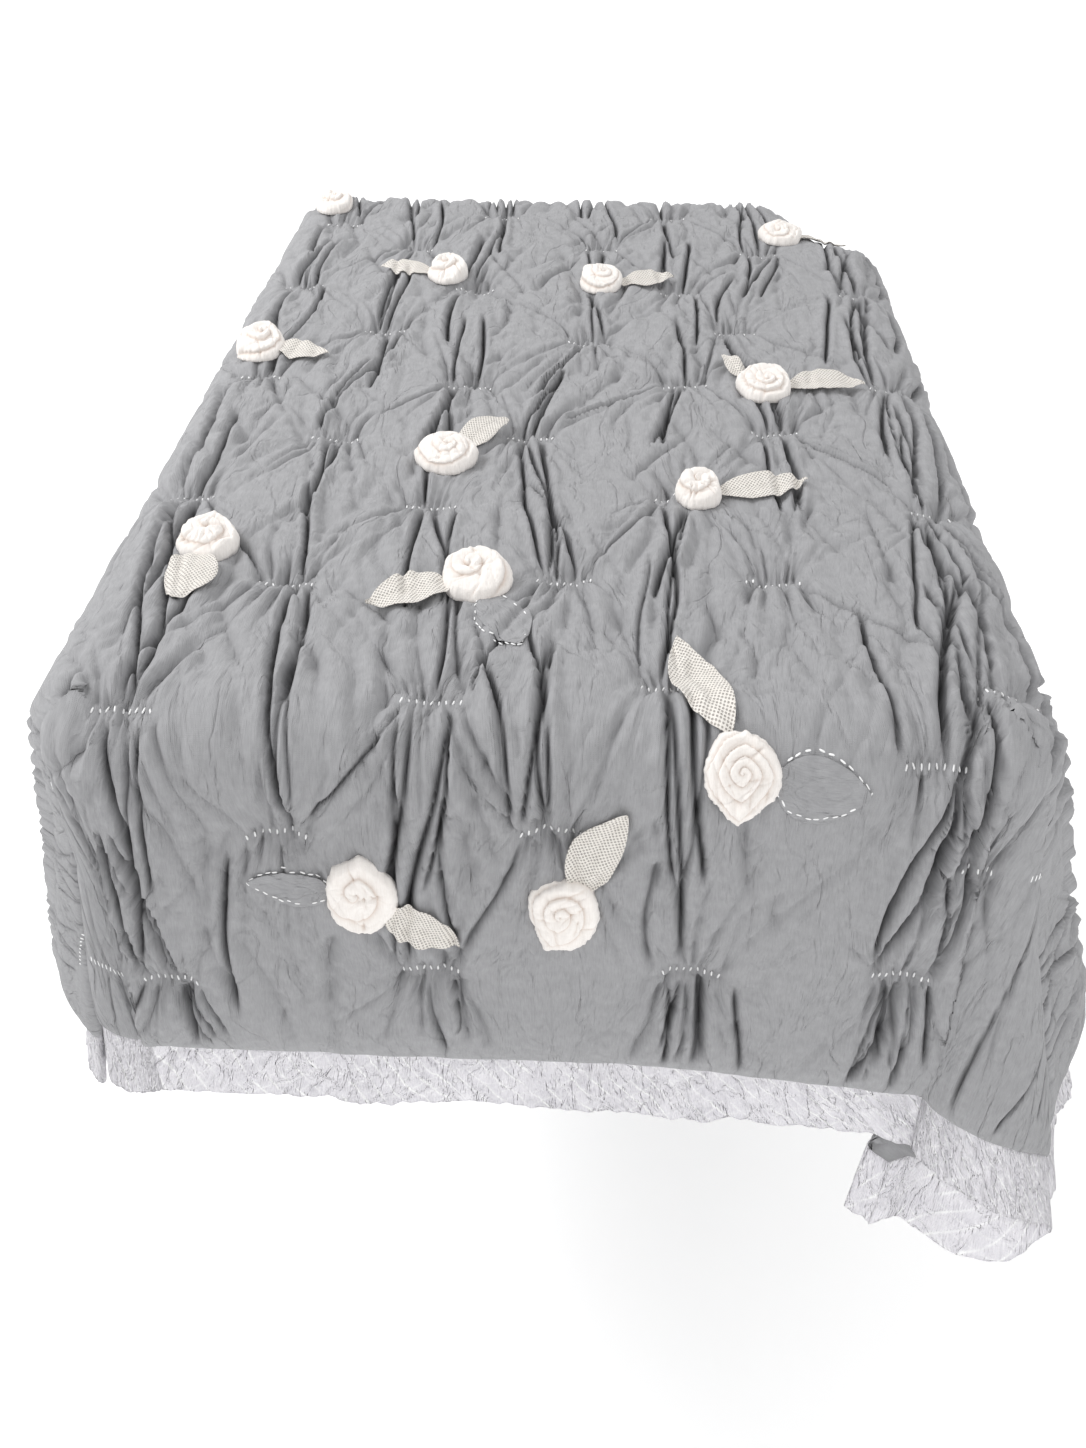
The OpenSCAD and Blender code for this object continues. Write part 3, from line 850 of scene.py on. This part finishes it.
# roses
roseShape = {"rings": 58, "round": 156, "rim": 5.0, "top": 13.0, "edge": 2.2, "tilt": 0.28,
             "fold": 1.65,
             "pinches": 9, "seed": 300}
# each rose was rolled differently: wraps of strip, squareness (2 round, 1.3 diamond), where the
# roll's middle sits, height of a fold, pinches across, cup depth, corners of the outline, aspect
roseStyles = {
    1: (2.2, 2.0, (0.1, 0.1), 2.2, 1.2, 0, [(0.5, 0.08), (2.6, 0.06)], (1.0, 1.0)),
    2: (1.8, 2.0, (-0.1, 0.35), 2.6, 1.6, 2.0, [(1.7, 0.07), (3.4, 0.08)], (0.95, 1.05)),
    3: (2.6, 1.8, (0.15, 0.1), 2.2, 1.0, 0, [(2.5, 0.16), (0.3, 0.05)], (1.0, 1.0)),
    4: (2.0, 2.0, (-0.1, -0.1), 2.0, 1.4, 1.5, [(3.0, 0.08), (0.4, 0.12)], (1.1, 0.95)),
    5: (2.4, 1.7, (0.1, 0.2), 2.6, 1.2, 0, [(1.4, 0.15), (3.9, 0.12)], (1.05, 1.15)),
    6: (3.1, 2.0, (0.1, -0.05), 2.6, 0.9, 1.0, [(3.0, 0.08), (0.9, 0.05)], (1.0, 1.0)),
    7: (2.6, 1.9, (0.05, 0.1), 2.0, 1.2, 0, [(3.0, 0.12), (0.2, 0.05)], (1.05, 0.95)),
    8: (1.7, 1.9, (0.05, 0.25), 2.4, 2.2, 5.0, [(4.4, 0.10), (2.2, 0.10), (0.9, 0.08)], (0.9, 1.0)),
    9: (1.6, 1.7, (0.0, 0.3), 2.6, 1.8, 0, [(1.5, 0.16), (3.3, 0.05), (0.2, 0.06)], (1.0, 0.95)),
    10: (2.3, 2.0, (-0.25, 0.2), 2.8, 1.5, 1.5, [(2.5, 0.10), (1.1, 0.08)], (1.05, 1.0)),
    11: (3.6, 1.5, (0.0, 0.1), 2.5, 0.9, 0, [(4.71, 0.20), (1.5, 0.08), (2.2, 0.08)], (0.95, 1.12)),
    12: (1.7, 1.9, (-0.05, 0.3), 2.4, 2.2, 0, [(1.55, 0.10), (2.3, 0.10), (5.0, 0.06)], (1.02, 1.28)),
    13: (2.9, 2.0, (-0.15, 0.15), 2.6, 1.3, 0, [(4.25, 0.26), (4.9, 0.14), (2.6, 0.08), (0.6, 0.05)],
         (1.06, 1.30)),
}


def roseFrame(number):
    # middle of the base, radius and the way the rose faces, from its solid
    points = nodePoints("rose_%d" % number)
    spot = onCloth([points.mean(0)])[0]
    here = place(spot[0], spot[1], drape["faceH"])
    ax = place(spot[0] + 2, spot[1], drape["faceH"]) - here
    ay = place(spot[0], spot[1] + 2, drape["faceH"]) - here
    up = np.cross(ax, ay)
    up /= np.linalg.norm(up)
    ax /= np.linalg.norm(ax)
    ay = np.cross(up, ax)
    rel = points - points.mean(0)
    radius = max(np.abs(rel @ ax).max(), np.abs(rel @ ay).max()) / mm
    tall = points @ up
    centre = points.mean(0) + up * (tall.min() - points.mean(0) @ up)
    return centre, ax, ay, up, radius, spot


def makeRose(number):
    wraps, square, middle, fold, pinch, cup, corners, aspect = roseStyles[number]
    centre, ax, ay, up, radius, spot = roseFrame(number)
    rng = seeded(roseShape["seed"] + number)
    rings, around = roseShape["rings"], roseShape["round"]
    rho, phi = np.meshgrid(np.linspace(0, 1, rings)[1:], np.arange(around) / around * 2 * np.pi,
                           indexing="ij")
    discX, discY = rho * np.cos(phi), rho * np.sin(phi)

    # the roll: a spiral whose turns are drawn out of round and wander
    wander = 0.16 * ripple(discX, discY, 0.8, 0.8, rng)
    dx, dy = discX - middle[0] * (1 - rho ** 2), discY - middle[1] * (1 - rho ** 2)
    r = (np.abs(dx) ** square + np.abs(dy) ** square) ** (1 / square)
    turn = np.arctan2(dy, dx)
    phase = wraps * np.maximum(r, 0) ** 0.85 + turn / (2 * np.pi) + wander
    f = phase - np.floor(phase)
    rise = np.where(f < 0.84, np.sin(f / 0.84 * np.pi / 2) ** 1.3,
                    np.cos((f - 0.84) / 0.16 * np.pi / 2) ** 0.6)
    size = fold * roseShape["fold"] * (0.75 + 0.4 * ripple(discX, discY, 0.7, 0.7, rng)) * np.clip(rho
                                                                                                   / 0.12, 0.3, 1)
    deep = np.exp(-f / 0.07) + np.exp(-(1 - f) / 0.03)

    # pinches where the strip was twisted, running across the turns
    pinches = np.zeros_like(discX)
    for _ in range(roseShape["pinches"]):
        a0, r0 = rng.uniform(0, 2 * np.pi), rng.uniform(0.15, 0.85)
        lean = a0 + rng.normal(0, 0.7)
        px, py = r0 * math.cos(a0), r0 * math.sin(a0)
        along = (discX - px) * math.cos(lean) + (discY - py) * math.sin(lean)
        across = -(discX - px) * math.sin(lean) + (discY - py) * math.cos(lean) + 0.25 * along ** 2
        reach = np.exp(-(along / rng.uniform(0.16, 0.4)) ** 2)
        sharp = rng.uniform(0.025, 0.05)
        pinches += reach * (np.exp(-np.abs(across) / sharp) - 0.6
                            * np.exp(-((np.abs(across) - 3 * sharp)
                                                                               / (2 * sharp)) ** 2))
    top, rim = roseShape["top"], roseShape["rim"]
    z = rim + (top - rim) * (1 - rho ** 2.2) ** 0.8 + size * (rise - 0.5) - 0.8 * pinch * pinches
    z += 1.3 * ripple(discX, discY, 0.4, 0.3, rng) * unit((1 - rho) * 4)
    for lean in (0.4, 2.0):                       # soft creases across the roll
        field = slanted(discX, discY, lean, 0.3, 0.8, rng)
        z -= 1.5 * np.exp(-np.abs(field) / 0.16) * unit((1 - rho) * 5)
    z -= cup * np.exp(-((discX - middle[0]) ** 2 + (discY - middle[1]) ** 2) / 0.07)
    edge = roseShape["edge"] / radius
    curve = unit((rho - 1 + 2 * edge) / (2 * edge))
    z = z * np.sqrt(np.maximum(1 - curve ** 2, 0)) ** 0.9 - 1.0 * curve

    outline = 1 + 0.05 * ripple(np.cos(phi), np.sin(phi), 0.35, 0.35, rng)
    outline += 0.02 * ripple(np.cos(phi) * 2, np.sin(phi) * 2, 0.12, 0.12, rng)
    for angle, amount in corners:
        off = np.abs((phi - angle + np.pi) % (2 * np.pi) - np.pi)
        outline += amount * np.exp(-off / 0.20) - 0.3 * amount * np.exp(-((off - 0.6) / 0.3) ** 2)
    # frayed below
    outline += 0.02 * ripple(np.cos(phi) * 3, np.sin(phi) * 3, 0.09, 0.09, rng) * (discY < -0.4)
    outline = 1 + (outline - 1) * rho ** 2
    px, py = discX * outline * aspect[0] * radius, discY * outline * aspect[1] * radius
    px, py = px - 0.7 * fold * deep * np.cos(turn) * rho, py - 0.7 * fold * deep * np.sin(turn) * rho

    # the rim turns under and the underside closes on a point
    under = [(0.95, -1.6), (0.80, -2.0), (0.4, -2.0)]
    ux = np.concatenate([px] + [px[-1:] * k for k, _ in under])
    uy = np.concatenate([py] + [py[-1:] * k for k, _ in under])
    uz = np.concatenate([z] + [np.full((1, around), d) for _, d in under])
    lean = roseShape["tilt"] * unit((spot[1] + 600) / 60)      # on the top it faces the foot
    uz[:rings - 1] += lean * np.maximum(py + 0.9 * radius, 0)
    points = centre + ux[..., None] * mm * ax + uy[..., None] * mm * ay + uz[..., None] * mm * up
    crown = centre + mm * up * (uz[0].mean() + 0.2) + mm * (px[0].mean() * ax + py[0].mean() * ay)
    base = centre - 2.0 * mm * up
    points = np.concatenate([[crown], points.reshape(-1, 3), [base]])
    rows = uz.shape[0]
    faces = []
    for q in range(around):
        n = (q + 1) % around
        faces.append((0, 1 + q, 1 + n))
        faces.append((len(points) - 1, 1 + (rows - 1) * around + n, 1 + (rows - 1) * around + q))
        for j in range(rows - 1):
            a, b = 1 + j * around, 1 + (j + 1) * around
            faces.append((a + q, b + q, b + n, a + n))
    uv = np.concatenate([[[0, 0]], np.stack([ux, uy], -1).reshape(-1, 2), [[0, 0]]]) * mm
    piece = newPiece("rose%d" % number, points, faces, roseCotton, uv)
    # painted shade: a warm tint where the strip turns under, at the pinches and on the crown
    shade = unit(0.75 * deep + 0.5 * unit(pinches)) * unit((1.02 - rho) * 8)
    shade = np.concatenate([[0.2], shade.ravel(), np.zeros(len(under) * around + 1)])
    markFoldShade(piece, shade)
    return piece


for number in range(1, roseCount + 1):
    rose = makeRose(number)
    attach(rose, "root")
    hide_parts("rose_%d" % number)
print("roses made")


# leaves
leafShape = {"along": 26, "across": 13, "thickness": 0.9, "tilt": 4.5, "tiltFrom": -560, "tiltTo": 440,
             "under": 8, "narrowest": 0.6}        # under: how far the base runs on below its rose


def leafHalf(k, wide):
    # half width at k, from 0 at the base to 1 at the tip
    return np.maximum(wide / 2 * np.sin(np.pi * k ** 0.85) ** 0.8, leafShape["narrowest"])


def leafSpots(node, rose):
    # base, tip and width of a leaf on the cloth, from its solid
    spots = onCloth(nodePoints(node))
    centre = onCloth([nodePoints(rose).mean(0)])[0]
    middle = spots.mean(0)
    d = middle - centre
    d /= np.linalg.norm(d)
    along = (spots - centre) @ d
    across = (spots - centre) @ np.array([-d[1], d[0]])
    side = np.polyfit(along, across, 1)
    wide = across.max() - across.min()
    return centre, d, along.min(), along.max(), wide


def makeLeaf(name, node, rose, material, seed, curl, lift):
    rng = seeded(seed)
    centre, d, near, far, wide = leafSpots(node, rose)
    k, c = np.meshgrid(np.linspace(0, 1, leafShape["along"]), np.linspace(-1, 1, leafShape["across"]),
                       indexing="ij")
    half = leafHalf(k, wide) * (1 + 0.05 * ripple(k * 3, c * 2, 0.7, 0.9, rng))
    start = near - leafShape["under"]
    s = start + (far - start) * k
    bend = 0.05 * (far - start) * np.sin(np.pi * k) * rng.choice([-1, 1])
    x = centre[0] + s * d[0] - (half * c + bend) * d[1]
    y = centre[1] + s * d[1] + (half * c + bend) * d[0]
    top = heightAt(x.ravel(), y.ravel()).reshape(x.shape)
    calm = 0.5 * top + 0.5 * top.max()
    h = calm + lift + curl * np.abs(c) ** 2.5 * (0.4 + 0.6 * ripple(k * 2, c * 1.1, 0.8, 1.1, rng) ** 2)
    h = h - 1.3 * np.exp(-(c / 0.12) ** 2) * np.sin(np.pi * k) + 0.9 * ripple(k * 5, c, 0.9, 1.2, rng)
    h = h + 2.0 * unit(k - 0.85) / 0.15
    # on the top the far edge stands up a little
    if curl > 1 and leafShape["tiltFrom"] < centre[1] < leafShape["tiltTo"]:
        h = h + leafShape["tilt"] * (1 + np.clip((y - y.mean()) / (wide / 2), -1, 1)) * np.sin(np.pi
                                                                                               * k) ** 0.5
    points = place(x, y, h)
    uv = np.stack([half * c, s], -1).reshape(-1, 2) * mm
    piece = newPiece(name, points.reshape(-1, 3),
                     gridFaces(leafShape["along"], leafShape["across"], flip=True),
                     material, uv)
    thicken(piece, leafShape["thickness"] * mm, 0)
    bump = piece.modifiers.new("round", "SUBSURF")
    bump.levels = bump.render_levels = 1
    applyModifiers(piece)
    return piece, (far - start, wide)


leafKinds = {                                     # the roses that the leaves grow from, and their looks
    "mesh": {"roses": [2, 3, 4, 5, 6, 6, 7, 8, 9, 10, 11, 12, 13], "cloth": meshKnit,
             "slot": "mesh_knit",
             "seed": 100, "curl": 2.5, "lift": 1.4},
    "grey": {"roses": [10, 11, 12], "cloth": leafCotton, "slot": "leaf_cotton",
             "seed": 200, "curl": 0.2, "lift": 0.3},
}
for kind, leaves in leafKinds.items():
    for number, roseNumber in enumerate(leaves["roses"], 1):
        leafNode = "%s_leaf_%d" % (kind, number)
        leaf, (long, wide) = makeLeaf("%sLeaf%d" % (kind, number), leafNode, "rose_%d" % roseNumber,
                                      leaves["cloth"], leaves["seed"] + number, leaves["curl"],
                                      leaves["lift"])
        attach(leaf, "root")
        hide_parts(leafNode)
print("leaves made")


# stitches
stitch = {
    "length": 5.4, "thick": 1.8, "lift": 0.4, "seed": 5,
    "leafLength": 4.6, "leafGap": 1.6, "leafThick": 1.3, "leafLift": 1.6, "leafInset": 0.93,
          "leafSeed": 500,
}


def stitchMesh(spots, directions, long, thick, lift):
    # short rounded threads on the cloth: six-sided, pinched at both ends
    ring = [(-0.5, 0.35), (-0.28, 1.0), (0.28, 1.0), (0.5, 0.35)]
    directions = np.array(directions)
    n = len(spots)
    t = np.repeat([r[0] for r in ring], 6)[None, :] * long
    r = np.repeat([r[1] for r in ring], 6)[None, :] * thick / 2
    a = np.tile(np.arange(6) * np.pi / 3, 4)[None, :]
    dx, dy = directions[:, :1], directions[:, 1:]
    x = spots[:, :1] + dx * t - dy * np.cos(a) * r
    y = spots[:, 1:] + dy * t + dx * np.cos(a) * r
    h = heightAt(spots[:, 0], spots[:, 1])[:, None] + lift + np.sin(a) * r
    points = place(x, y, h).reshape(-1, 3)
    faces = []
    for base in range(0, n * 24, 24):
        for m in range(3):
            for q in range(6):
                p0, p1 = base + m * 6 + q, base + m * 6 + (q + 1) % 6
                faces.append((p0, p0 + 6, p1 + 6, p1))
        faces.append(tuple(base + q for q in range(6)))
        faces.append(tuple(base + 18 + q for q in reversed(range(6))))
    return points, faces


def leafOutline(number, roseNumber):
    # spots and directions of the stitches round a grey leaf
    rng = seeded(stitch["leafSeed"] + number)
    centre, d, near, far, wide = leafSpots("grey_leaf_%d" % number, "rose_%d" % roseNumber)
    k = np.linspace(0.0, 1.0, 400)
    half = leafHalf(k, wide) * stitch["leafInset"]
    loop = np.concatenate([np.stack([k, half], 1), np.stack([k[::-1], -half[::-1]], 1)])
    s = near - leafShape["under"] + (far - near + leafShape["under"]) * loop[:, 0]
    line = np.stack([centre[0] + s * d[0] - loop[:, 1] * d[1],
                     centre[1] + s * d[1] + loop[:, 1] * d[0]], 1)
    run = np.concatenate([[0], np.cumsum(np.hypot(*np.diff(line, axis=0).T))])
    spots, directions, at = [], [], 2.0
    while at < run[-1] - 3:
        p = np.array([np.interp(at, run, line[:, q]) for q in (0, 1)])
        ahead = np.array([np.interp(at + 1.5, run, line[:, q]) for q in (0, 1)])
        way = ahead - p
        way = way / max(np.hypot(*way), 1e-6) + rng.normal(0, 0.12, 2)
        spots.append(p + rng.normal(0, 0.5, 2))
        directions.append(way / np.hypot(*way))
        at += stitch["leafLength"] + stitch["leafGap"] + rng.exponential(0.9)
    return spots, directions


spots, directions = [], []
for number, roseNumber in enumerate(leafKinds["grey"]["roses"], 1):
    more, ways = leafOutline(number, roseNumber)
    spots += more
    directions += ways
points, faces = stitchMesh(np.array(spots), directions, stitch["leafLength"], stitch["leafThick"],
                           stitch["leafLift"])
outlines = newPiece("leafStitches", points, faces, whiteThread, np.zeros((len(points), 2)))
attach(outlines, "root")

rng = seeded(stitch["seed"])
spots, directions = [], []
for gx, gy in gatherAt:
    for p in range(gathers["pleats"]):
        d = (p - (gathers["pleats"] - 1) / 2) / gathers["pleats"] * gathers["width"]
        spots.append((gx + d, gy + gathers["bow"] * (1 - (d / gathers["bowHalf"]) ** 2)
                      + rng.uniform(-0.6, 0.6)))
        a = rng.uniform(1.1, 2.0)
        directions.append((math.cos(a), math.sin(a)))
points, faces = stitchMesh(np.array(spots), directions, stitch["length"], stitch["thick"],
                           stitch["lift"])
threads = newPiece("gatherStitches", points, faces, whiteThread, np.zeros((len(points), 2)))
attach(threads, "root")
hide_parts(*["gather_threads_%d" % r for r in range(1, gathers["rows"] + 1)])
print("stitches made")


# floor and light
studio = {"floorZ": -1.1, "floorSize": 40, "floorGlow": 0.22, "key": 46, "fill": 8, "world": 0.95}

bpy.ops.object.select_all(action="DESELECT")
bpy.ops.mesh.primitive_plane_add(size=studio["floorSize"], location=(0, 0, studio["floorZ"]))
floor = bpy.context.object
floor.name = "floor"
# matt paint that glows a little, so the ground stays near white
floorPaint = bpy.data.materials.new("paleFloorPaint")
floorPaint.use_nodes = True
for key, value in (("Base Color", linear("#FDFDFD")), ("Roughness", 0.9),
                   ("Emission Color", linear("#FFFFFF")), ("Emission Strength", studio["floorGlow"])):
    floorPaint.node_tree.nodes["Principled BSDF"].inputs[key].default_value = value
floor.data.materials.append(floorPaint)
floor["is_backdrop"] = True

world = bpy.data.worlds.new("studio")
scene.world = world
world.use_nodes = True
world.node_tree.nodes["Background"].inputs["Color"].default_value = (1, 1, 1, 1)
world.node_tree.nodes["Background"].inputs["Strength"].default_value = studio["world"]


def softLight(name, place, target, size, power):
    data = bpy.data.lights.new(name, "AREA")
    data.shape = "DISK"
    data.size = size
    data.energy = power
    lamp = bpy.data.objects.new(name, data)
    lamp.location = place
    lamp.rotation_euler = (Vector(target) - Vector(place)).to_track_quat("-Z", "Y").to_euler()
    scene.collection.objects.link(lamp)


softLight("keyLight", (-2.2, 0.2, 1.9), (0, 0, -0.1), 1.3, studio["key"])
softLight("fillLight", (1.5, -2.6, 1.4), (0, 0, -0.2), 2.0, studio["fill"])
scene.view_settings.view_transform = "Standard"
print("studio lit")

low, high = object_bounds()
